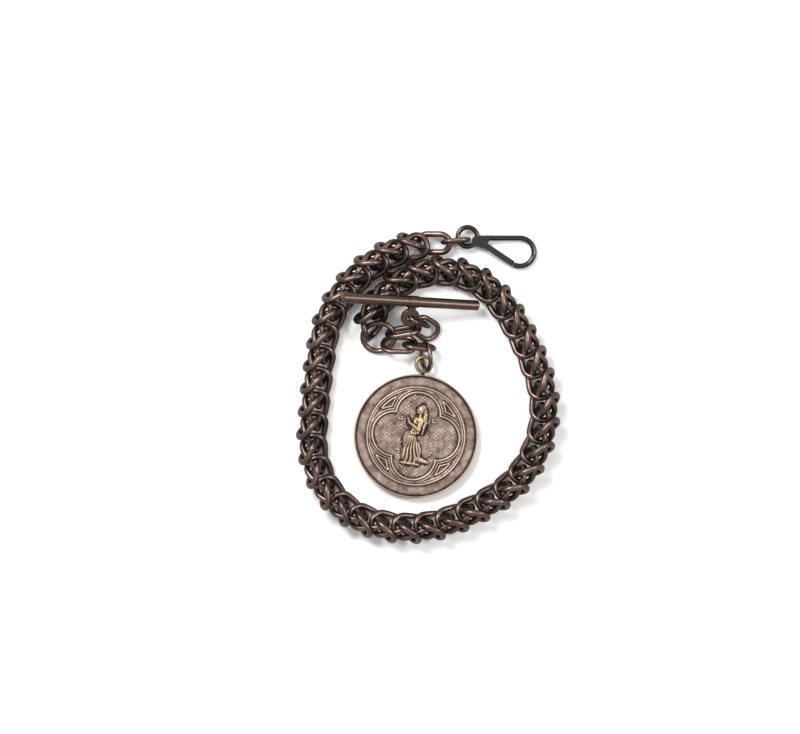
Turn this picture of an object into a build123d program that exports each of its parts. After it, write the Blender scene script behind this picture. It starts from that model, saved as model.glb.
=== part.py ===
from build123d import *
from math import cos, radians, sin, sqrt
import os

# A pocket watch fob laid out flat: a medal on three plain links, a toggle bar on three
# more, and a long curb chain of doubled rings that ends in a spring clip. The origin is
# the middle of the medal on the table, +Z is up and +Y is the top of the picture.

# Sizes in millimetres, each of them set by itself.
clearance = 0.15            # running gap between pieces that move on each other
press = 0.01                # how far a pressed piece bites into its seat

# Curb chain
chain_pitch = 6.25
chain_wire = 1.7
broad_ring_length = 12.25
broad_ring_width = 8.35
broad_ring_twist = -83      # degrees from bow to bow
tall_ring_length = 8.9
tall_ring_width = 7.65
tall_ring_twist = -25
chain_lift = 4.87           # height of the chain's own axis above the table

# Plain links
link_wire = 1.4
hub_wire = 1.5
hub_length = 10.4
hub_width = 9.8
lower_link_length = 10.7
lower_link_width = 6.6
cross_link_length = 9.8
cross_link_width = 6.6
bail_ring_wire = 1.2
bail_ring_length = 8.8
bail_ring_width = 8.6
edge_link_wire = 1.6
edge_link_length = 10.5
edge_link_width = 6.9
side_link_wire = 1.4
side_link_length = 9.4
side_link_width = 6.8
thin_link_wire = 1.1
thin_link_length = 8.4
thin_link_width = 5.2
end_link_wire = 1.7
end_link_length = 10.5
end_link_width = 6.9
clip_ring_wire = 1.3
clip_ring_length = 8.6
clip_ring_width = 6.0

# Medal
medal_radius = 17.25
medal_thickness = 3.0
field_depth = 0.55          # how far the field lies below the rim
rim_width = 0.65
band_width = 3.0            # plain band between the rim and the inner ring
bead_width = 0.4            # each raised line of the design
bead_height = 0.3
lobe_radius = 6.2           # each round lobe of the four-lobed frame
lobe_offset = 5.9
pellet_radius = 0.42
loop_wire = 1.0
loop_radius = 2.15          # the medal's own loop, to the middle of its wire
loop_reach = 20.15          # middle of the medal to the middle of its loop
loop_lean = 6.5             # degrees that the loop and the design lean to the right

# Toggle bar
bar_length = 39.4
bar_radius = 1.45
bar_end_round = 0.35
groove_radius = 1.15
shoulder_width = 0.45
shoulder_radius = 1.62
collar_length = 2.0
collar_wall = 0.45
eye_radius = 2.65
eye_hole_radius = 1.05
eye_thickness = 1.2
eye_reach = 4.8             # bar's axis to the middle of the eye
neck_width = 2.0
bar_seat = -0.7             # middle of the bar beside the middle of its collar
collar_droop = 25           # degrees that the eye hangs below the bar

# Spring clip
hook_wire = 1.5
hook_bend_radius = 3.92
hook_limb = 10.4            # straight limb, rivet to the start of the bend
hook_bend_turn = 205        # degrees from the limb round to the nose
hook_offset = 1.68          # limb's axis beside the rivet
clip_eye_radius = 2.72
clip_eye_wire = 1.4
clip_eye_reach = 4.76       # rivet to the middle of the eye
clip_eye_angle = 155.7
tongue_thickness = 0.7
knuckle_radius = 1.15
rivet_radius = 0.42
rivet_head_radius = 0.75
rivet_head_height = 0.25
gate_width = 1.6
gate_heading = -33.5        # closed, from the rivet to the nose
gate_wall = 0.35
gate_thickness = 1.7
spring_thickness = 0.15
spring_width = 0.6

# How the two rings of one chain link sit to each other: middles as shares of the pitch,
# with +X towards the clip and +Y to the outside of the loop, then heading, pitch and roll.
broad_ring_shares = (0.0, -0.042, -0.192)
broad_ring_turns = (5.5, 0, 38)
tall_ring_shares = (0.19, 0.24, 0.192)
tall_ring_turns = (-43, -3, 101)

# How the chain lies: stretches of links that each turn by the same angle, from the clip
# end on. Places are shares of the chain's pitch, measured from the middle of the medal.
chain_start_shares = (-0.32, 8.384)
chain_start_heading = -163.9
chain_stretches = ((6, 10.7), (4, 1.6), (2, 13.2), (3, 15.9), (4, 10.5), (2, 4.9), (6, 12.4),
                   (3, 5.0), (1, 6.6), (4, 17.2), (3, 17.6))

# Where the loose links lie: middles as shares of the pitch, then heading, pitch and roll.
loose_link_shares = {
    "hub_ring": ((-1.662, 4.427, 0.418), (16.4, -11.7, 20.1)),
    "medal_link_1": ((-0.744, 4.086, 0.434), (-0.9, -5, -40.8)),
    "medal_link_2": ((0.152, 4.003, 0.528), (-6.8, -0.1, 101.6)),
    "medal_ring": ((0.454, 3.565, 0.752), (1.6, -71.2, 2.4)),
    "toggle_link_1": ((-0.557, 4.672, 0.57), (9.9, -5.3, 112.3)),
    "toggle_link_2": ((0.43, 4.826, 0.438), (-31, 28.3, 12)),
    "toggle_link_3": ((0.12, 5.137, 0.789), (-21.2, 46.9, 106.1)),
    "chain_end_link": ((0.824, 8.627, 0.326), (-0.9, -11.3, 14)),
    "clip_ring": ((1.788, 8.725, 0.522), (6.2, -1.5, 86.9)),
}
bar_shares = (-0.125, 5.994, 1.464)
bar_turns = (-3.2, 15.5, 0)
clip_shares = (3.011, 8.592, 0.312)
clip_turns = (0, 4, 0)

node_shapes = {}


def keep(name, shape):
    """Files one finished piece under the name that a person would use for it."""
    node_shapes[name] = shape


def turned(heading, pitch, roll):
    """A turn about a piece's own long axis, then its cross axis, then straight up."""
    return Rot(0, 0, heading) * Rot(0, pitch, 0) * Rot(roll, 0, 0)


def laid(place_shares, turns):
    """Where a loose piece lies: its middle as shares of the pitch, and its three turns."""
    x, y, z = (share * chain_pitch for share in place_shares)
    return Pos(x, y, z) * turned(*turns)


def oval_link(length, width, wire):
    """A plain link of round wire lying flat: two round bows and two straight limbs."""
    path = SlotOverall(length - wire, width - wire).face().outer_wire()
    return sweep(Plane(origin=path @ 0, z_dir=path % 0) * Circle(wire / 2), path=path)


def tangent_pair(start, end, start_way, end_way):
    """Two arcs that leave start along start_way, meet smoothly and reach end along end_way."""
    span = end - start
    both = start_way + end_way
    spread = 2 * (1 - start_way.dot(end_way))
    reach = (sqrt(span.dot(both) ** 2 + spread * span.dot(span)) - span.dot(both)) / spread
    first = start + start_way * reach
    second = end - end_way * reach
    middle = (first + second) / 2
    return [TangentArc(start, middle, tangent=start_way), TangentArc(middle, end, tangent=second - first)]


def twisted_link(length, width, wire, twist):
    """A curb ring: the same oval, twisted about its long axis by so many degrees in all."""
    bow = (width - wire) / 2
    limb = (length - width) / 2
    rate = radians(twist / 2) / (limb + bow)
    flat = [(0, bow, 0)] + [(-limb - bow * sin(radians(step)), bow * cos(radians(step)), step)
                            for step in range(0, 181, 60)] + [(0, -bow, 180)]
    points = []
    ways = []
    for x, y, step in flat:
        angle = rate * x
        along = -cos(radians(step))
        across = -sin(radians(step))
        points.append(Vector(x, y * cos(angle), y * sin(angle)))
        ways.append(Vector(along, across * cos(angle) - y * sin(angle) * rate * along,
                           across * sin(angle) + y * cos(angle) * rate * along).normalized())
    arcs = []
    for start, end, start_way, end_way in zip(points, points[1:], ways, ways[1:]):
        arcs += tangent_pair(start, end, start_way, end_way)
    path = Wire(edge for arc in arcs for edge in arc.edges())
    half = sweep(Plane(origin=path @ 0, z_dir=path % 0) * Circle(wire / 2), path=path)
    return half + Rot(0, 0, 180) * half


def ring_wall(outer, inner, height):
    """A flat ring that stands on the plane."""
    return extrude(Circle(outer) - Circle(inner), height)


def lobes(radius):
    """The four-lobed outline, as one flat face."""
    face = Circle(lobe_offset)
    for step in range(4):
        face += Rot(0, 0, 90 * step) * Pos(lobe_offset, 0, 0) * Circle(radius)
    return face


def medal_face():
    """The raised design: two rings, the four-lobed frame, corner leaves and pellets."""
    inner = medal_radius - rim_width - band_width
    lines = ring_wall(inner, inner - bead_width, bead_height)
    lines += ring_wall(inner - 2 * bead_width, inner - 2.6 * bead_width, bead_height / 2)
    lines += extrude(lobes(lobe_radius) - lobes(lobe_radius - bead_width), bead_height)
    leaf_reach = inner - 2 * bead_width - 2 * pellet_radius
    for step in range(4):
        leaf = Pos(leaf_reach, 0, 0) * extrude(RegularPolygon(2 * pellet_radius, 3), bead_height)
        lines += Rot(0, 0, 45 + 90 * step) * leaf
    band_middle = medal_radius - rim_width - band_width / 2
    for step in range(24):
        lines += Rot(0, 0, 15 * step) * Pos(band_middle, 0, 0) * Cylinder(pellet_radius, 2 * bead_height)
    return lines


def swelling(reach_shares, size_shares, lean):
    """One soft raised form of the figure, as shares of a lobe's radius."""
    x, y = (share * lobe_radius for share in reach_shares)
    wide, tall = (share * lobe_radius for share in size_shares)
    form = scale(Sphere(lobe_radius), (wide / lobe_radius, tall / lobe_radius, 3 * bead_height / lobe_radius))
    return Pos(x, y, 0) * Rot(0, 0, lean) * form


def medal_figure():
    """A plain kneeling figure in a long robe with folded hands."""
    figure = swelling((0.0, 1.25), (0.2, 0.25), 0)
    figure += swelling((-0.05, 0.65), (0.33, 0.55), 8)
    figure += swelling((0.3, 0.72), (0.36, 0.14), 35)
    figure += swelling((-0.1, -0.25), (0.5, 0.78), -6)
    figure += swelling((-0.35, -0.95), (0.85, 0.3), -8)
    return figure


def build_medal():
    """The medal: a raised rim round a sunken field on both faces, and its design."""
    disc = Cylinder(medal_radius, medal_thickness, align=(Align.CENTER, Align.CENTER, Align.MIN))
    well = Cylinder(medal_radius - rim_width, field_depth, align=(Align.CENTER, Align.CENTER, Align.MIN))
    field = medal_thickness - field_depth
    disc = disc - Pos(0, 0, field) * well
    disc = disc + Pos(0, 0, field) * medal_face()
    disc = disc + Pos(0, 0, field) * (medal_figure() & Pos(0, 0, lobe_radius) * Box(*[2 * lobe_radius] * 3))
    keep("medal_disc", Rot(0, 0, -loop_lean) * disc)


def build_medal_loop():
    """The loop on the medal's edge: a round ring on a short flared foot."""
    height = medal_thickness - loop_wire / 2 - press
    ring = Pos(0, loop_reach, height) * Torus(loop_radius, loop_wire / 2)
    foot_top = loop_reach - loop_radius
    foot_low = medal_radius - press
    lower = Plane(origin=(0, foot_low, height), z_dir=(0, 1, 0)) * Rectangle(3.2 * loop_wire, loop_wire)
    upper = Plane(origin=(0, foot_top, height), z_dir=(0, 1, 0)) * Rectangle(1.6 * loop_wire, 0.9 * loop_wire)
    foot = loft([lower, upper])
    keep("medal_loop", Rot(0, 0, -loop_lean) * (ring + foot))


def chain_link():
    """One link of the curb chain: a broad ring and a tall ring, each through the other."""
    broad = twisted_link(broad_ring_length, broad_ring_width, chain_wire, broad_ring_twist)
    tall = twisted_link(tall_ring_length, tall_ring_width, chain_wire, tall_ring_twist)
    return [laid(broad_ring_shares, broad_ring_turns) * broad,
            laid(tall_ring_shares, tall_ring_turns) * tall]


def chain_stations():
    """The place and heading of every chain link, from the clip's end on."""
    x, y = (share * chain_pitch for share in chain_start_shares)
    heading = chain_start_heading
    stations = [(x, y, heading)]
    for count, turn in chain_stretches:
        for _ in range(count):
            x += chain_pitch / 2 * cos(radians(heading))
            y += chain_pitch / 2 * sin(radians(heading))
            heading += turn
            x += chain_pitch / 2 * cos(radians(heading))
            y += chain_pitch / 2 * sin(radians(heading))
            stations.append((x, y, heading))
    return stations


def build_chain():
    """The curb chain, link by link; local +X of a link points back towards the clip."""
    rings = chain_link()
    for number, (x, y, heading) in enumerate(chain_stations(), start=1):
        where = Pos(x, y, chain_lift) * Rot(0, 0, heading + 180)
        keep(f"chain_link_{number:02d}", Compound(children=[where * ring for ring in rings]))


def build_toggle():
    """The toggle bar with its waist, and the collar that turns in the waist with its eye."""
    half = bar_length / 2
    waist = collar_length / 2 + clearance
    left = bar_seat - half
    outline = [(left, 0), (left, bar_radius - bar_end_round), (left + bar_end_round, bar_radius),
               (-waist - shoulder_width, bar_radius), (-waist - shoulder_width, shoulder_radius),
               (-waist, shoulder_radius), (-waist, groove_radius)]
    right = bar_seat + half
    outline += [(waist, groove_radius), (waist, shoulder_radius), (waist + shoulder_width, shoulder_radius),
                (waist + shoulder_width, bar_radius), (right - bar_end_round, bar_radius),
                (right, bar_radius - bar_end_round), (right, 0)]
    bar = revolve(make_face(Polyline(*outline, close=True)), Axis.X)
    keep("toggle_bar", bar_place() * bar)
    sleeve_radius = groove_radius + clearance / 2 + collar_wall
    sleeve = Cylinder(sleeve_radius, collar_length)
    neck = Box(neck_width, eye_reach - eye_hole_radius, eye_thickness,
               align=(Align.CENTER, Align.MAX, Align.CENTER))
    collar = Rot(0, 90, 0) * sleeve + neck
    collar += Pos(0, -eye_reach, 0) * Cylinder(eye_radius, eye_thickness)
    collar -= Rot(0, 90, 0) * Cylinder(groove_radius + clearance / 2, 2 * collar_length)
    hole = Pos(0, -eye_reach, 0) * Cylinder(eye_hole_radius, 2 * eye_thickness)
    keep("toggle_collar", bar_place() * Rot(collar_droop, 0, 0) * fillet_rims(collar - hole))


def fillet_rims(body):
    """Softens the sharp round edges of the eye."""
    rims = body.edges().filter_by(GeomType.CIRCLE).filter_by(lambda edge: abs(edge.radius - eye_radius) < press)
    return fillet(rims, eye_thickness / 4)


def bar_place():
    """Where the collar's middle lies on the bar, and how the bar leans on the chain."""
    return laid(bar_shares, bar_turns)


def hook_path():
    """The hook's wire: a straight limb, then a bend that comes back to meet the gate."""
    start = (knuckle_radius, hook_offset)
    limb = Line(start, (hook_limb, hook_offset))
    bend = JernArc(start=limb @ 1, tangent=limb % 1, radius=hook_bend_radius, arc_size=-hook_bend_turn)
    return Wire(limb.edges() + bend.edges())


def gate_length():
    """Rivet to the free end of the gate, short of the hook's nose by the running gap."""
    middle = Vector(hook_limb, hook_offset - hook_bend_radius)
    turn = radians(hook_bend_turn)
    nose = middle + Vector(sin(turn), cos(turn)) * hook_bend_radius
    return nose.length - clearance


def build_clip():
    """The spring clip: body with its eye and hook, rivet, hinged gate and leaf spring."""
    path = hook_path()
    body = sweep(Plane(origin=path @ 0, z_dir=path % 0) * Circle(hook_wire / 2), path=path)
    reach = radians(clip_eye_angle)
    eye = Pos(clip_eye_reach * cos(reach), clip_eye_reach * sin(reach), 0)
    body += eye * Torus(clip_eye_radius, clip_eye_wire / 2)
    root = clip_eye_reach - clip_eye_radius
    bosses = [Circle(knuckle_radius), Pos(knuckle_radius, hook_offset) * Circle(hook_wire / 2),
              Pos(root * cos(reach), root * sin(reach)) * Circle(clip_eye_wire)]
    shoulder = make_hull([edge for boss in bosses for edge in boss.edges()])
    body += Pos(0, 0, -hook_wire / 2) * extrude(shoulder, hook_wire)
    cheek_radius = knuckle_radius + 3 * clearance
    cheek_room = Cylinder(cheek_radius, gate_thickness, align=(Align.CENTER, Align.CENTER, Align.MIN))
    for side in (0, 180):
        body -= Rot(side, 0, 0) * Pos(0, 0, tongue_thickness / 2) * cheek_room
    body -= Cylinder(rivet_radius, gate_thickness)
    keep("clip_body", clip_place() * body)
    rivet = Cylinder(rivet_radius, gate_thickness + 2 * rivet_head_height)
    head = Cylinder(rivet_head_radius, rivet_head_height, align=(Align.CENTER, Align.CENTER, Align.MIN))
    for side in (0, 180):
        rivet += Rot(side, 0, 0) * Pos(0, 0, gate_thickness / 2 + press) * head
    keep("clip_rivet", clip_place() * rivet)
    build_gate()


def build_gate():
    """The gate: a folded channel forked round the tongue, with a leaf spring inside."""
    length = gate_length()
    slot = SlotCenterToCenter(length - gate_width / 2, gate_width)
    gate = Pos((length - gate_width / 2) / 2, 0, -gate_thickness / 2) * extrude(slot, gate_thickness)
    inside = gate_thickness - 2 * gate_wall
    fork = knuckle_radius + gate_width / 2
    gate -= Box(2 * fork, 2 * gate_width, inside)
    channel = Box(length - gate_width, gate_width, inside, align=(Align.MIN, Align.MIN, Align.CENTER))
    gate -= Pos(0, gate_wall - gate_width / 2, 0) * channel
    gate -= Cylinder(rivet_radius + clearance / 3, 2 * gate_thickness)
    keep("clip_gate", clip_place() * Rot(0, 0, gate_heading) * gate)
    leaf = Box(length - gate_width - fork, spring_thickness, spring_width,
               align=(Align.MIN, Align.MIN, Align.CENTER))
    leaf = Pos(fork, gate_wall - gate_width / 2 - press, 0) * leaf
    keep("clip_spring", clip_place() * Rot(0, 0, gate_heading) * leaf)


def clip_place():
    """Where the clip's rivet lies: the eye end rides on the small ring, the hook on the table."""
    return laid(clip_shares, clip_turns)


def build_plain_links():
    """The loose plain links between the chain, the toggle bar, the medal and the clip."""
    sizes = {
        "hub_ring": (hub_length, hub_width, hub_wire),
        "medal_link_1": (lower_link_length, lower_link_width, link_wire),
        "medal_link_2": (cross_link_length, cross_link_width, link_wire),
        "medal_ring": (bail_ring_length, bail_ring_width, bail_ring_wire),
        "toggle_link_1": (edge_link_length, edge_link_width, edge_link_wire),
        "toggle_link_2": (side_link_length, side_link_width, side_link_wire),
        "toggle_link_3": (thin_link_length, thin_link_width, thin_link_wire),
        "chain_end_link": (end_link_length, end_link_width, end_link_wire),
        "clip_ring": (clip_ring_length, clip_ring_width, clip_ring_wire),
    }
    for name, (length, width, wire) in sizes.items():
        keep(name, laid(*loose_link_shares[name]) * oval_link(length, width, wire))


def main():
    build_medal()
    build_medal_loop()
    build_toggle()
    build_chain()
    build_plain_links()
    build_clip()
    os.makedirs("parts", exist_ok=True)
    for name, shape in node_shapes.items():
        export_step(shape, f"parts/{name}.step")


main()
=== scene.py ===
import math

import bpy
import numpy as np
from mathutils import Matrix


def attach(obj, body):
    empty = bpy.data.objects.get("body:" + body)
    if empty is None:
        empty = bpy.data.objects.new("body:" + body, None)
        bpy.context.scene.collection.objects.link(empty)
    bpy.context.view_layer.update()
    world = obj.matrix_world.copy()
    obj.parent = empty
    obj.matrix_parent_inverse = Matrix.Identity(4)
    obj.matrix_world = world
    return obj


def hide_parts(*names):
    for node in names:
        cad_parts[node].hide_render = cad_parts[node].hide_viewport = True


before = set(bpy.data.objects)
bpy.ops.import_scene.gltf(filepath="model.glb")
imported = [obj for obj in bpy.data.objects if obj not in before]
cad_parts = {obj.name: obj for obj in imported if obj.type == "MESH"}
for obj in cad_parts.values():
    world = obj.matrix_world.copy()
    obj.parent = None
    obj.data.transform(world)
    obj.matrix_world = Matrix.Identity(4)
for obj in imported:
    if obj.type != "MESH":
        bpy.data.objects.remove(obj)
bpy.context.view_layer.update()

# The table: a sheet of smooth white photographer's card, with the camera straight above
# it. A broad soft lamp stands at the upper left and a smaller, weaker one at the right,
# and the white room fills the shadows.

mm = 0.001
picture_width = 224.0           # width of card that the picture takes in
picture_middle = (-4.4, 19.3)
camera_height = 1300.0
card_reach = 3 * picture_width
card_white = "f4f3f2"
lamps = {"softbox": ((-0.45, 0.55, 0.9), 0.4, 12.0),    # place and size in metres, watts
         "strip": ((0.6, 0.1, 0.8), 0.2, 4.0)}
lamp_target = (0.0, 0.02, 0.0)
room_light = 0.68


def linear(hex_colour):
    """An sRGB hex colour as linear red, green, blue and full alpha."""
    parts = [int(hex_colour[start:start + 2], 16) / 255 for start in (0, 2, 4)]
    return [part / 12.92 if part <= 0.04045 else ((part + 0.055) / 1.055) ** 2.4
            for part in parts] + [1.0]


def add_node(tree, kind, settings=None, links=None, stops=()):
    """Adds one node, gives its settings by property or socket name, links its sockets, and
    sets a ramp's stops, each of them a place from 0 to 1 and a hex colour."""
    node = tree.nodes.new(kind)
    for name, value in (settings or {}).items():
        if isinstance(name, int) or name in node.inputs:
            node.inputs[name].default_value = value
        else:
            setattr(node, name, value)
    for name, source in (links or {}).items():
        tree.links.new(source, node.inputs[name])
    for _ in stops[2:]:     # a ramp comes with two
        node.color_ramp.elements.new(0.5)
    for number, (place, colour) in enumerate(stops):
        node.color_ramp.elements[number].position = place
        node.color_ramp.elements[number].color = linear(colour)
    return node


def new_material(name):
    """An empty node material and its tree, for a finish to be built in."""
    material = bpy.data.materials.new(name)
    material.use_nodes = True
    material.node_tree.nodes.clear()
    return material, material.node_tree


# Card is dull all over, so it gives the fob no mirror image and only a soft shadow.
card, card_tree = new_material("white_card")
card_surface = add_node(card_tree, "ShaderNodeBsdfPrincipled",
                        {"Base Color": linear(card_white), "Roughness": 0.9, "IOR": 1.45})
add_node(card_tree, "ShaderNodeOutputMaterial", {}, {"Surface": card_surface.outputs[0]})
card_mesh = bpy.data.meshes.new("card_sheet")
card_mesh.from_pydata([(x * card_reach * mm, y * card_reach * mm, 0)
                       for x, y in ((-1, -1), (1, -1), (1, 1), (-1, 1))], [], [(0, 1, 2, 3)])
card_mesh.materials.append(card)
card_sheet = bpy.data.objects.new("card_sheet", card_mesh)
bpy.context.collection.objects.link(card_sheet)

camera_data = bpy.data.cameras.new("camera")
camera_data.lens = camera_data.sensor_width * camera_height / picture_width
camera = bpy.data.objects.new("camera", camera_data)
camera.location = (picture_middle[0] * mm, picture_middle[1] * mm, camera_height * mm)
bpy.context.collection.objects.link(camera)
bpy.context.scene.camera = camera

for lamp_name, (lamp_place, lamp_size, lamp_watts) in lamps.items():
    lamp_data = bpy.data.lights.new(lamp_name, "AREA")
    lamp_data.size = lamp_size
    lamp_data.energy = lamp_watts
    lamp = bpy.data.objects.new(lamp_name, lamp_data)
    lamp.location = lamp_place
    aim = np.array(lamp_target) - np.array(lamp_place)
    lamp.rotation_euler = (math.atan2(math.hypot(aim[0], aim[1]), -aim[2]), 0,
                           math.atan2(aim[1], aim[0]) - math.pi / 2)
    bpy.context.collection.objects.link(lamp)
world = bpy.data.worlds.new("studio")
world.use_nodes = True
background = world.node_tree.nodes["Background"]
background.inputs["Color"].default_value = linear("ffffff")
background.inputs["Strength"].default_value = room_light
bpy.context.scene.world = world
bpy.context.scene.view_settings.view_transform = "Standard"

# The curb chain: oxidised bronze wire, each link a broad ring bent into a deep twist and
# a shorter ring threaded beside it. The rings are butted shut, tumbled, and darkened in a
# liver-of-sulphur bath, and wear has rubbed them back to a pinkish bronze. Their finish
# also paints light: the sides of the wire that face up are painted lighter as a highlight,
# and the flanks darker as shade.

chain_pitch = 6.25
chain_wire = 1.7
broad_ring = (12.25, 8.35, -83)     # length, width, and twist from bow to bow
tall_ring = (8.9, 7.65, -25)
chain_lift = 4.87                   # height of the chain's middle line over the card
# Where each ring's middle lies from its link's station, as shares of the pitch, and then
# how it is turned: heading, pitch and roll.
broad_ring_shares = (0.0, -0.042, -0.192)
broad_ring_turns = (5.5, 0, 38)
tall_ring_shares = (0.19, 0.24, 0.192)
tall_ring_turns = (-43, -3, 101)
# The chain's route from the clip's end: stretches of links that turn by the same angle.
chain_start_shares = (-0.32, 8.384)
chain_start_heading = -163.9
chain_stretches = ((6, 10.7), (4, 1.6), (2, 13.2), (3, 15.9), (4, 10.5), (2, 4.9), (6, 12.4),
                   (3, 5.0), (1, 6.6), (4, 17.2), (3, 17.6))
patina_stain_size = 3.846           # cloudy blots in the patina
patina_stain_weight = 0.55          # next to a rub mark of up to 1
patina_patch_size = 11.765          # greyer patches, about two links long
patina_patch_strength = 0.6
patina_grey = "b9c0ba"
tumbling_grit_size = 0.5556         # real grit is finer, and is drawn this coarse to show
tumbling_grit_weight = 0.18
tumbling_grit_depth = 0.06


def oval_path(length, width, wire, twist=0.0, count=96):
    """The middle line of an oval ring: two straight sides and two half-circle bows, walked
    round at an even pace, then turned about the long axis in step with the place along it."""
    bow = (width - wire) / 2
    half_side = (length - width) / 2
    walk = np.linspace(0, 4 * half_side + 2 * math.pi * bow, count, endpoint=False)
    first = 2 * half_side
    second = first + math.pi * bow
    third = second + 2 * half_side
    left = (walk - first) / bow
    right = (walk - third) / bow
    parts = [walk < first, walk < second, walk < third]
    x = np.select(parts, [half_side - walk, -half_side - bow * np.sin(left),
                          walk - second - half_side], half_side + bow * np.sin(right))
    y = np.select(parts, [np.full(count, bow), bow * np.cos(left), np.full(count, -bow)],
                  -bow * np.cos(right))
    angle = np.radians(twist / 2) * x / (half_side + bow)
    return np.stack([x, y * np.cos(angle), y * np.sin(angle)], axis=1)


def turned(points, heading, pitch, roll):
    """Turns points about their long axis, then the cross axis, then straight up."""
    spins = []
    for axis, angle in ((0, roll), (1, pitch), (2, heading)):
        c, s = math.cos(math.radians(angle)), math.sin(math.radians(angle))
        spin = np.eye(3)
        spin[(axis + 1) % 3, (axis + 1) % 3] = c
        spin[(axis + 1) % 3, (axis + 2) % 3] = -s
        spin[(axis + 2) % 3, (axis + 1) % 3] = s
        spin[(axis + 2) % 3, (axis + 2) % 3] = c
        spins.append(spin)
    return points @ (spins[2] @ spins[1] @ spins[0]).T


def wire_skin(paths, wire, around=18):
    """Round wire along one or more closed paths: at every path point a circle of the wire's
    radius, square to the path, that starts on the side away from its ring's middle. The rub
    mark is how squarely a point faces up or down: partly the wear on the two sides that
    slide on cloth, and partly painted light, as its finish paints the side that faces up
    lighter as a highlight and the flanks darker as shade."""
    along = np.roll(paths, -1, 1) - np.roll(paths, 1, 1)
    along /= np.linalg.norm(along, axis=2)[..., None]
    outward = paths - paths.mean(1)[:, None]
    outward -= (outward * along).sum(2)[..., None] * along
    outward /= np.linalg.norm(outward, axis=2)[..., None]
    across = np.cross(along, outward)
    circle = np.linspace(0, 2 * math.pi, around, endpoint=False)[:, None]
    normal = outward[:, :, None] * np.cos(circle) + across[:, :, None] * np.sin(circle)
    points = paths[:, :, None] + normal * wire / 2
    here = np.arange(points[..., 0].size).reshape(points.shape[:3])
    ahead = np.roll(here, -1, 1)
    faces = np.stack([here, np.roll(here, -1, 2), np.roll(ahead, -1, 2), ahead], axis=3)
    # This mark carries painted light as well as wear: lighter where the wire faces up, darker
    # on its flanks.
    marks = {"rub": np.abs(normal[..., 2]).ravel()}
    return points.reshape(-1, 3) * mm, faces.reshape(-1, 4).tolist(), marks


def new_piece(name, points, faces, marks, material, body, node, slot_name):
    """Makes one smooth mesh in metres, with marks on its points that its finish reads, and
    lets it ride its body in place of its CAD node."""
    mesh = bpy.data.meshes.new(name)
    mesh.from_pydata(points, [], faces)
    mesh.polygons.foreach_set("use_smooth", np.ones(len(mesh.polygons), dtype=bool))
    for mark, values in marks.items():
        mesh.attributes.new(mark, "FLOAT", "POINT").data.foreach_set("value", values)
    mesh.materials.append(material)
    mesh.update()
    piece = bpy.data.objects.new(name, mesh)
    bpy.context.collection.objects.link(piece)
    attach(piece, body)
    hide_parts(node)


def oxidised_bronze(name, deep, middle, rubbed_and_lit, gloss):
    """Bronze wire darkened in a bath and rubbed by wear, with light and shade painted in: it is
    painted to gleam as a highlight along the sides that face up and painted near black as
    shade on the flanks between. The rub mark and two noises choose between the deep, the
    middle and the rubbed and lit colour, greyer patches lie over it, and the grit stirs the
    gloss."""
    material, tree = new_material(name)
    place = add_node(tree, "ShaderNodeTexCoord").outputs["Object"]
    # The rub mark paints a highlight on the sides that face up and shade on the flanks, besides
    # the wear.
    rub = add_node(tree, "ShaderNodeAttribute", {"attribute_name": "rub"}).outputs["Fac"]
    stain = add_node(tree, "ShaderNodeTexNoise",
                     {"Scale": 1 / (patina_stain_size * mm), "Detail": 4.0, "Roughness": 0.6},
                     {"Vector": place}).outputs["Fac"]
    grit = add_node(tree, "ShaderNodeTexNoise",
                    {"Scale": 1 / (tumbling_grit_size * mm), "Detail": 3.0},
                    {"Vector": place}).outputs["Fac"]
    stained = add_node(tree, "ShaderNodeMath",
                       {"operation": "MULTIPLY_ADD", 1: patina_stain_weight},
                       {0: stain, 2: rub}).outputs[0]
    shade = add_node(tree, "ShaderNodeMath",
                     {"operation": "MULTIPLY_ADD", 1: tumbling_grit_weight},
                     {0: grit, 2: stained}).outputs[0]
    level = add_node(tree, "ShaderNodeMapRange", {"From Min": 0.3, "From Max": 1.45},
                     {"Value": shade}).outputs[0]
    metal = add_node(tree, "ShaderNodeValToRGB", {}, {"Fac": level},
                     ((0.0, deep), (0.5, middle), (1.0, rubbed_and_lit))).outputs["Color"]
    patch = add_node(tree, "ShaderNodeTexNoise",
                     {"Scale": 1 / (patina_patch_size * mm), "Detail": 3.0},
                     {"Vector": place}).outputs["Fac"]
    grey = add_node(tree, "ShaderNodeMapRange",
                    {"From Min": 0.45, "From Max": 0.62, "To Max": patina_patch_strength},
                    {"Value": patch}).outputs[0]
    colour = add_node(tree, "ShaderNodeMix",
                      {"data_type": "RGBA", "blend_type": "MULTIPLY", 7: linear(patina_grey)},
                      {0: grey, 6: metal}).outputs[2]
    rough = add_node(tree, "ShaderNodeMapRange",
                     {"To Min": gloss + 0.1, "To Max": gloss - 0.05}, {"Value": grit})
    relief = add_node(tree, "ShaderNodeBump",
                      {"Strength": 0.25, "Distance": tumbling_grit_depth * mm},
                      {"Height": grit})
    surface = add_node(tree, "ShaderNodeBsdfPrincipled", {"Metallic": 0.9},
                       {"Base Color": colour, "Roughness": rough.outputs[0],
                        "Normal": relief.outputs[0]})
    add_node(tree, "ShaderNodeOutputMaterial", {}, {"Surface": surface.outputs[0]})
    return material


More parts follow.
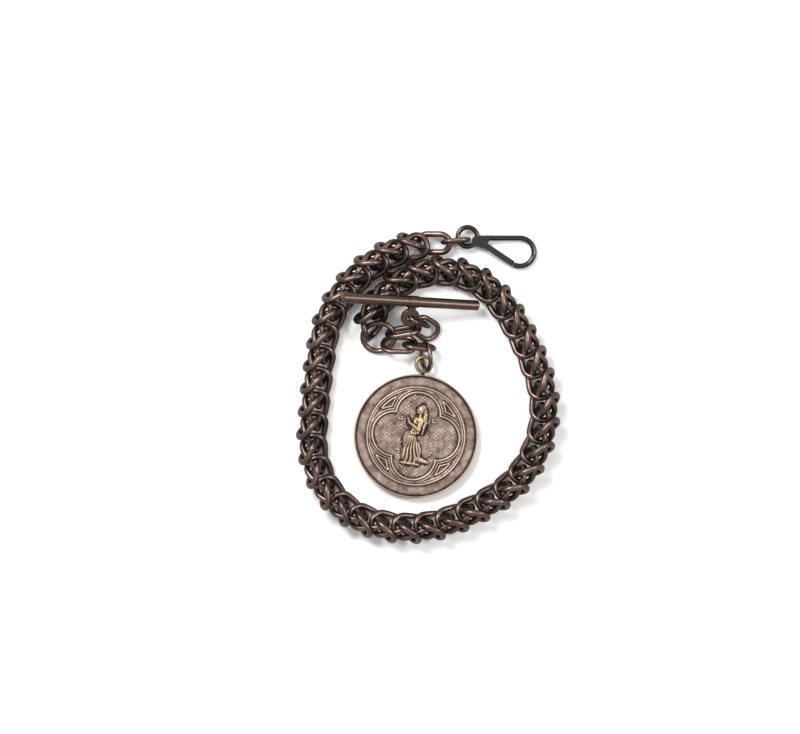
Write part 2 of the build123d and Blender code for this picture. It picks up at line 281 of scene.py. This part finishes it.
# The light colour is a painted highlight as well as bare bronze; the deep one is oxide and
# painted shade.
chain_bronze = oxidised_bronze("oxidised_bronze", deep="120c0a", middle="3a2b26",
                               rubbed_and_lit="806a62", gloss=0.32)
station_x, station_y = (share * chain_pitch for share in chain_start_shares)
station_heading = chain_start_heading
stations = [(station_x, station_y, station_heading)]
for count, turn in chain_stretches:
    for _ in range(count):
        for half_turn in (turn, 0):
            station_x += chain_pitch / 2 * math.cos(math.radians(station_heading))
            station_y += chain_pitch / 2 * math.sin(math.radians(station_heading))
            station_heading += half_turn
        stations.append((station_x, station_y, station_heading))
link_rings = np.stack([
    turned(oval_path(length, width, chain_wire, twist), *turns) + np.array(shares) * chain_pitch
    for (length, width, twist), shares, turns in (
        (broad_ring, broad_ring_shares, broad_ring_turns),
        (tall_ring, tall_ring_shares, tall_ring_turns))])
for number, (x, y, heading) in enumerate(stations, start=1):
    name = f"chain_link_{number:02d}"
    rings = turned(link_rings, heading + 180, 0, 0) + np.array([x, y, chain_lift])
    new_piece("rings_" + name, *wire_skin(rings, chain_wire), chain_bronze, name, name,
              "bronze_chain")

# The plain links: soft bronze jump rings and oval links between the chain, the toggle bar,
# the medal and the clip, cut from drawn wire and squeezed shut with pliers.

# Length, width and wire, then the middle as shares of the chain's pitch, then the turns:
# heading, pitch and roll. The ring next to the clip counts as part of the clip.
plain_links = {
    "hub_ring": (10.4, 9.8, 1.5, (-1.662, 4.427, 0.418), (16.4, -11.7, 20.1)),
    "medal_link_1": (10.7, 6.6, 1.4, (-0.744, 4.086, 0.434), (-0.9, -5, -40.8)),
    "medal_link_2": (9.8, 6.6, 1.4, (0.152, 4.003, 0.528), (-6.8, -0.1, 101.6)),
    "medal_ring": (8.8, 8.6, 1.2, (0.454, 3.565, 0.752), (1.6, -71.2, 2.4)),
    "toggle_link_1": (10.5, 6.9, 1.6, (-0.557, 4.672, 0.57), (9.9, -5.3, 112.3)),
    "toggle_link_2": (9.4, 6.8, 1.4, (0.43, 4.826, 0.438), (-31, 28.3, 12)),
    "toggle_link_3": (8.4, 5.2, 1.1, (0.12, 5.137, 0.789), (-21.2, 46.9, 106.1)),
    "chain_end_link": (10.5, 6.9, 1.7, (0.824, 8.627, 0.326), (-0.9, -11.3, 14)),
    "clip_ring": (8.6, 6.0, 1.3, (1.788, 8.725, 0.522), (6.2, -1.5, 86.9)),
}
# The links' wire is also painted lighter as a highlight where it faces up and darker as shade
# on its flanks.
drawn_bronze = oxidised_bronze("drawn_bronze_wire", deep="150e0b", middle="402f29",
                               rubbed_and_lit="866f66", gloss=0.3)
for name, (length, width, wire, shares, turns) in plain_links.items():
    path = turned(oval_path(length, width, wire), *turns) + np.array(shares) * chain_pitch
    new_piece("wire_" + name, *wire_skin(path[None], wire, 24), drawn_bronze, name, name,
              "blued_steel" if name == "clip_ring" else "bronze_chain")

# The medal: a bronze disc struck in relief on a thin raised rim, oxidised in the hollows
# and rubbed to gilt on the high folds. A four-lobed moulding frames a kneeling figure in a
# long robe on a ground strewn with small crosses of four pellets; the band outside is bare.

medal_radius = 17.25
medal_thickness = 3.0
edge_bevel = 0.15
rim_width = 0.42
rim_slope = 0.18            # width over which the rim rises from the field
field_depth = 0.55          # how far the field lies below the rim's top
ring_radius = 13.65         # outer ring line, with a finer one inside it
ring_width = 0.55
ring_height = 0.34
inner_ring_gap = 0.6
inner_ring_height = 0.17
fine_line = 0.4
lobe_radius = 6.2
lobe_offset = 6.05
lobe_bridge = 9.3775        # how far the ground between two lobes reaches, along x plus y
lobe_bridge_depth = 0.6
moulding_width = 0.65
moulding_height = 0.408
fine_moulding_gap = 0.7     # from the moulding to the finer line outside it
fine_moulding_height = 0.187
fine_moulding_margin = 0.3
leaf_reach = 3.9            # half width of each corner leaf, square to the diagonal
leaf_moulding_gap = 1.25
leaf_ring_gap = 1.15
leaf_line = 0.44
leaf_height = 0.306
corner_pellets = 4.6        # how far out the three pellets sit inside each corner
corner_pellet_size = 0.34
corner_pellet_height = 0.3
corner_pellet_steps = ((-0.3, -0.3), (0.35, -0.3), (-0.3, 0.35))
cross_rows = 2.15
cross_columns = 2.9
cross_arm = 0.4464          # from a cross's middle to the middle of each pellet
cross_moulding_margin = 1.15
cross_corner_margin = 1.24
pellet_size = 0.27
pellet_height = 0.2
figure_height = 0.95
design_lean = 6.5           # how far the design leans to the right of upright, in degrees
medal_cells = 286           # cells along each side of the grid that carries the relief
smoothing_cells = 4
wear_rise = 0.14            # height over the smoothed relief at which wear is full
dirt_rise = 0.1
gilt_start = 0.05
gilt_rise = 0.2
gilt_figure_height = 0.7    # height of the figure from which the gilding is whole
plain_wear = 0.3            # the even wear of the edge and the back
medal_stain_size = 3.03     # blots of the old skin
medal_grit_size = 0.3846    # real grit is finer, and is drawn this coarse to show
medal_grit_depth = 0.04


def ridge(distance, width, height):
    """A rounded moulding along a line: a half-circle section of that width and height."""
    return height * np.sqrt(np.clip(1 - (2 * distance / width) ** 2, 0, 1))


def swelling(x, y, middle, size, lean, height):
    """A soft raised form: an ellipsoid cap over an oval turned by lean degrees."""
    c, s = math.cos(math.radians(lean)), math.sin(math.radians(lean))
    u = ((x - middle[0]) * c + (y - middle[1]) * s) / size[0]
    v = ((y - middle[1]) * c - (x - middle[0]) * s) / size[1]
    return height * np.sqrt(np.clip(1 - u ** 2 - v ** 2, 0, 1))


def limb(x, y, start, end, width, height):
    """A rounded bar from start to end, closed by half circles: its section is half an oval,
    and its half width runs evenly from the first width to the second."""
    start, end = np.array(start), np.array(end)
    along = end - start
    share = ((x - start[0]) * along[0] + (y - start[1]) * along[1]) / (along @ along)
    share = np.clip(share, 0, 1)
    distance = np.hypot(x - start[0] - share * along[0], y - start[1] - share * along[1])
    thick = width[0] + (width[1] - width[0]) * share
    return height * np.sqrt(np.clip(1 - (distance / thick) ** 2, 0, 1))


def four_lobes(x, y):
    """How far a point lies outside the outline of four round lobes about a square: its
    distance from the nearest lobe's middle less the radius, and always inside it between
    the lobes."""
    far = np.full(np.shape(x), 1e9)
    for middle in ((lobe_offset, 0), (0, lobe_offset), (-lobe_offset, 0), (0, -lobe_offset)):
        far = np.minimum(far, np.hypot(x - middle[0], y - middle[1]) - lobe_radius)
    between = (np.abs(x) < lobe_offset) & (np.abs(y) < lobe_offset)
    between = between & (np.abs(x) + np.abs(y) < lobe_bridge)
    return np.where(between, np.minimum(far, -lobe_bridge_depth), far)


def strewn_crosses(x, y):
    """Crosses of four pellets in staggered rows over the ground inside the moulding, each
    pellet a round swelling, with none near the moulding or the corner pellets."""
    relief = np.zeros_like(x)
    for row in range(-5, 6):
        for column in range(-4, 5):
            middle_x = column * cross_columns + (row % 2) * cross_columns / 2
            middle_y = row * cross_rows
            near_corner = math.hypot(abs(middle_x) - corner_pellets,
                                     abs(middle_y) - corner_pellets)
            near_moulding = four_lobes(middle_x, middle_y) > -cross_moulding_margin
            if near_moulding or near_corner < cross_corner_margin:
                continue
            for step_x, step_y in ((0, 1), (1, 0), (0, -1), (-1, 0)):
                spot = (middle_x + step_x * cross_arm, middle_y + step_y * cross_arm)
                pellet = swelling(x, y, spot, (pellet_size, pellet_size), 0, pellet_height)
                relief = np.maximum(relief, pellet)
    return relief


def kneeling_figure(x, y):
    """The figure, turned half left with folded hands: each form is a swelling or a limb, and
    the folds of the robe are waves that fan out from the belt to the hem."""
    skirt = np.maximum(swelling(x, y, (-0.7, -5.0), (2.75, 4.1), -4, 1.0),
                       swelling(x, y, (-1.6, -1.6), (2.0, 3.0), 4, 0.9))
    skirt = np.where(y < -8.0, 0, skirt)
    fan = np.arctan2(x + 0.9, -(y - 2.5))
    skirt = skirt * (0.8 + 0.2 * np.cos(fan * 46 + 0.8 * np.sin(y * 1.3)))
    hem = limb(x, y, (-3.1, -7.7), (1.5, -7.9), (0.42, 0.42), 0.75)
    train = limb(x, y, (0.6, -6.2), (3.9, -7.0), (1.1, 0.45), 0.7)
    train = train * (0.85 + 0.15 * np.cos(x * 7))
    torso = limb(x, y, (-0.7, 1.0), (0.1, 4.3), (1.15, 1.25), 0.95)
    torso = torso * (0.88 + 0.12 * np.cos(5.5 * (x * 0.6 + y)))
    belt = limb(x, y, (-2.1, 0.45), (0.7, 0.9), (0.32, 0.32), 0.95)
    shoulder = swelling(x, y, (0.9, 4.3), (1.25, 1.5), -10, 1.2)
    upper_arm = limb(x, y, (1.0, 3.9), (0.5, 1.9), (1.0, 0.95), 1.2)
    fore_arm = limb(x, y, (0.5, 1.9), (-2.1, 3.5), (0.95, 0.45), 1.3)
    hands = limb(x, y, (-2.1, 3.4), (-2.75, 4.9), (0.48, 0.3), 1.25)
    neck = limb(x, y, (0.6, 5.4), (0.75, 6.4), (0.55, 0.5), 0.95)
    head = swelling(x, y, (0.75, 7.35), (1.12, 1.42), 4, 1.3)
    face = np.maximum(swelling(x, y, (-0.3, 7.2), (0.3, 0.22), 20, 1.1),
                      swelling(x, y, (-0.05, 6.55), (0.4, 0.35), 0, 1.05))
    hair = np.maximum(swelling(x, y, (1.25, 7.85), (1.1, 1.2), -20, 1.4),
                      limb(x, y, (1.9, 7.2), (2.2, 4.0), (0.75, 0.62), 1.05))
    hair = np.maximum(hair, limb(x, y, (2.2, 4.0), (1.7, 0.6), (0.62, 0.3), 0.95))
    hair = hair * (0.88 + 0.12 * np.cos(6.5 * (x + 0.25 * np.sin(2.4 * y)) + 1.0))
    forms = [skirt, hem, train, torso, belt, shoulder, upper_arm, fore_arm, hands, neck, head,
             face, hair]
    return np.maximum.reduce([np.zeros_like(x)] + [form * figure_height for form in forms])


def medal_relief(x, y, figure):
    """Height of the struck face over its field, in the design's own axes: the highest of the
    two rings, the four-lobed moulding with a finer line outside it, the corner leaves and
    pellets, the strewn crosses, the figure, and the rim with its smooth slope."""
    far = np.hypot(x, y)
    outside = four_lobes(x, y)
    ring = ridge(far - ring_radius, ring_width, ring_height)
    inner_ring = ridge(far - ring_radius + inner_ring_gap, fine_line, inner_ring_height)
    moulding = ridge(outside, moulding_width, moulding_height)
    fine = ridge(outside - fine_moulding_gap, fine_line, fine_moulding_height)
    fine = np.where(far < ring_radius - fine_moulding_margin, fine, 0)
    corner_x, corner_y = np.abs(x), np.abs(y)
    leaf = np.minimum(outside - leaf_moulding_gap, ring_radius - leaf_ring_gap - far)
    leaf = np.minimum(leaf, (leaf_reach - np.abs(corner_x - corner_y)) / 2)
    leaf = np.where(leaf > 0, ridge(leaf - leaf_line / 2, leaf_line, leaf_height), 0)
    relief = np.maximum.reduce([ring, inner_ring, moulding, fine, leaf])
    for step_x, step_y in corner_pellet_steps:
        spot = (corner_pellets + step_x, corner_pellets + step_y)
        pellet = swelling(corner_x, corner_y, spot, (corner_pellet_size, corner_pellet_size), 0,
                          corner_pellet_height)
        relief = np.maximum(relief, pellet)
    relief = np.maximum(relief, np.where(figure > 0, 0, strewn_crosses(x, y)))
    rim = np.clip((far - (medal_radius - rim_width)) / rim_slope, 0, 1)
    rim = field_depth * (3 * rim ** 2 - 2 * rim ** 3)
    return np.maximum.reduce([relief, figure, rim])


def smoothed(height, reach):
    """The same heights averaged over a square that reaches so many cells each way: running
    totals along one side and then the other, each taken at both ends of the square."""
    window = 2 * reach + 1
    for axis in (0, 1):
        margins = [(reach + 1, reach) if side == axis else (0, 0) for side in (0, 1)]
        total = np.cumsum(np.pad(height, margins, mode="edge"), axis=axis)
        count = total.shape[axis]
        height = (np.take(total, np.arange(window, count), axis)
                  - np.take(total, np.arange(count - window), axis)) / window
    return height


def struck_disc():
    """The medal as one closed mesh, with its marks: a square grid bent into a disc carries
    the relief, and its border drops in rings over the bevelled edge to a flat back."""
    side = np.linspace(-1, 1, medal_cells + 1)
    across, up = np.meshgrid(side, side)
    flat_half = np.abs(across) > np.abs(up)
    safe_across, safe_up = np.where(across == 0, 1, across), np.where(up == 0, 1, up)
    reach = np.where(flat_half, across, up)
    turn = np.where(flat_half, math.pi / 4 * up / safe_across,
                    math.pi / 2 - math.pi / 4 * across / safe_up)
    face_radius = medal_radius - edge_bevel
    x, y = reach * np.cos(turn) * face_radius, reach * np.sin(turn) * face_radius
    c, s = math.cos(math.radians(design_lean)), math.sin(math.radians(design_lean))
    design_x, design_y = x * c - y * s, y * c + x * s
    figure = kneeling_figure(design_x, design_y)
    relief = medal_relief(design_x, design_y, figure)
    top = np.stack([x, y, medal_thickness - field_depth + relief], axis=2).reshape(-1, 3)
    index = np.arange(len(top)).reshape(x.shape)
    faces = [np.stack([index[:-1, :-1], index[:-1, 1:], index[1:, 1:], index[1:, :-1]],
                      axis=2).reshape(-1, 4)]
    border = np.concatenate([index[0, :-1], index[:-1, -1], index[-1, :0:-1], index[:0:-1, 0]])
    parts, loops = [top], [border]
    for radius, height in ((medal_radius, medal_thickness - edge_bevel),
                           (medal_radius, edge_bevel), (face_radius, 0),
                           (face_radius / 2, 0), (face_radius / 30, 0)):
        ring = top[border] * (radius / face_radius)
        ring[:, 2] = height
        loops.append(np.arange(len(border)) + sum(len(part) for part in parts))
        parts.append(ring)
    for upper, lower in zip(loops, loops[1:]):
        faces.append(np.stack([upper, lower, np.roll(lower, -1), np.roll(upper, -1)], axis=1))
    faces = np.concatenate(faces).tolist() + [loops[-1][::-1].tolist()]
    # Wear and dirt follow how far the relief stands over or under its smoothed self.
    above = relief - smoothed(smoothed(relief, smoothing_cells), smoothing_cells)
    marks = {"rub": np.clip(above / wear_rise, 0, 1),
             "hollow": np.clip(-above / dirt_rise, 0, 1),
             "gilt": np.maximum(np.clip(figure / gilt_figure_height, 0, 1) ** 2,
                                np.clip((above - gilt_start) / gilt_rise, 0, 1))}
    plain = np.full(sum(len(part) for part in parts[1:]), plain_wear)
    marks = {name: np.concatenate([mark.ravel(), plain]) for name, mark in marks.items()}
    return np.concatenate(parts) * mm, faces, marks


def struck_bronze():
    """Old struck bronze: a pinkish grey skin, near black where the hollows hold their dirt,
    pale where the relief is worn, with the last of a gilding on the figure's high folds."""
    material, tree = new_material("struck_bronze")
    place = add_node(tree, "ShaderNodeTexCoord").outputs["Object"]
    stain = add_node(tree, "ShaderNodeTexNoise",
                     {"Scale": 1 / (medal_stain_size * mm), "Detail": 8.0, "Roughness": 0.72},
                     {"Vector": place}).outputs["Fac"]
    grit = add_node(tree, "ShaderNodeTexNoise",
                    {"Scale": 1 / (medal_grit_size * mm), "Detail": 3.0},
                    {"Vector": place}).outputs["Fac"]
    colour = add_node(tree, "ShaderNodeValToRGB", {}, {"Fac": stain},
                      ((0.36, "62504a"), (0.5, "917c74"), (0.64, "b3a095"))).outputs["Color"]
    for mark, tint, strength in (("gilt", "ad8549", 0.6), ("rub", "cfc0ac", 0.55),
                                 ("hollow", "1c1310", 0.92)):
        amount = add_node(tree, "ShaderNodeAttribute", {"attribute_name": mark}).outputs["Fac"]
        share = add_node(tree, "ShaderNodeMath", {"operation": "MULTIPLY", 1: strength},
                         {0: amount}).outputs[0]
        colour = add_node(tree, "ShaderNodeMix", {"data_type": "RGBA", 7: linear(tint)},
                          {0: share, 6: colour}).outputs[2]
    rough = add_node(tree, "ShaderNodeMapRange", {"To Min": 0.34, "To Max": 0.52},
                     {"Value": grit})
    relief = add_node(tree, "ShaderNodeBump",
                      {"Strength": 0.22, "Distance": medal_grit_depth * mm},
                      {"Height": grit})
    surface = add_node(tree, "ShaderNodeBsdfPrincipled", {"Metallic": 0.85},
                       {"Base Color": colour, "Roughness": rough.outputs[0],
                        "Normal": relief.outputs[0]})
    add_node(tree, "ShaderNodeOutputMaterial", {}, {"Surface": surface.outputs[0]})
    return material


new_piece("struck_medal", *struck_disc(), struck_bronze(), "medal", "medal_disc",
          "medal_bronze")

# The toggle bar with its sliding collar: turned bronze that keeps its lathe-cut form, so
# the CAD solids stand and only take their finish here.

metal_stain_size = 2.381        # blots where fingers have dulled the metal
metal_stain_weight = 0.6        # next to a lean of up to 1
metal_grit_size = 0.4167        # real grit is finer, and is drawn this coarse to show


def worn_and_lit_metal(name, deep, rubbed_and_lit, gloss):
    """Plain turned or drawn metal, bright where it faces up or down and darker on the flanks
    between them: partly the wear on the two sides that fingers and cloth rub, and partly
    painted light, a highlight on the side that faces up and shade on the flanks. The lean of
    the surface and a noise choose between the deep and the rubbed and lit colour, and the
    grit stirs the gloss."""
    material, tree = new_material(name)
    coordinates = add_node(tree, "ShaderNodeTexCoord")
    lean = add_node(tree, "ShaderNodeSeparateXYZ", {},
                    {0: coordinates.outputs["Normal"]}).outputs[2]
    stain = add_node(tree, "ShaderNodeTexNoise",
                     {"Scale": 1 / (metal_stain_size * mm), "Detail": 5.0, "Roughness": 0.6},
                     {"Vector": coordinates.outputs["Object"]}).outputs["Fac"]
    grit = add_node(tree, "ShaderNodeTexNoise",
                    {"Scale": 1 / (metal_grit_size * mm), "Detail": 3.0},
                    {"Vector": coordinates.outputs["Object"]}).outputs["Fac"]
    # Painted light as well as wear: the lean paints the side that faces up lighter as a
    # highlight and the flanks darker as shade.
    rub = add_node(tree, "ShaderNodeMath", {"operation": "ABSOLUTE"}, {0: lean}).outputs[0]
    mixed = add_node(tree, "ShaderNodeMath",
                     {"operation": "MULTIPLY_ADD", 1: metal_stain_weight},
                     {0: stain, 2: rub}).outputs[0]
    level = add_node(tree, "ShaderNodeMapRange", {"From Min": 0.1, "From Max": 1.35},
                     {"Value": mixed}).outputs[0]
    colour = add_node(tree, "ShaderNodeValToRGB", {}, {"Fac": level},
                      ((0.0, deep), (1.0, rubbed_and_lit))).outputs["Color"]
    rough = add_node(tree, "ShaderNodeMapRange",
                     {"To Min": gloss + 0.08, "To Max": gloss - 0.06}, {"Value": grit})
    surface = add_node(tree, "ShaderNodeBsdfPrincipled", {"Metallic": 0.95},
                       {"Base Color": colour, "Roughness": rough.outputs[0]})
    add_node(tree, "ShaderNodeOutputMaterial", {}, {"Surface": surface.outputs[0]})
    return material


def dress(nodes, material):
    """Gives CAD nodes one finish in place of the plain one they come with."""
    for node in nodes:
        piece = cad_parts[node]
        piece.data.materials.clear()
        piece.data.materials.append(material)


# The bar and collar are painted lighter as a highlight where they face up and darker as shade
# on their flanks.
dress(("toggle_bar", "toggle_collar"),
      worn_and_lit_metal("turned_bronze", deep="1a1412", rubbed_and_lit="635149", gloss=0.34))

# The medal's loop: a ring of gilt bronze wire soldered on the edge, with the gilding worn
# thin. The CAD solid stands.

# The loop is painted lighter as a highlight where it faces up and darker as shade on its
# flanks.
dress(("medal_loop",), worn_and_lit_metal("gilt_wire", deep="3a2c1c", rubbed_and_lit="b29a74", gloss=0.32))

# The spring clip: a forged steel hook with a riveted gate and a leaf spring inside it. The
# steel is blued almost black by heat, and the spring is left bright. The CAD solids stand.

# The clip's steel is painted lighter as a highlight where it faces up and darker as shade on
# its flanks.
dress(("clip_body", "clip_gate", "clip_rivet"),
      worn_and_lit_metal("blued_steel", deep="0c0b0b", rubbed_and_lit="4c4745", gloss=0.2))
dress(("clip_spring",), worn_and_lit_metal("bright_steel", deep="2a2a2c", rubbed_and_lit="6e6e70", gloss=0.28))
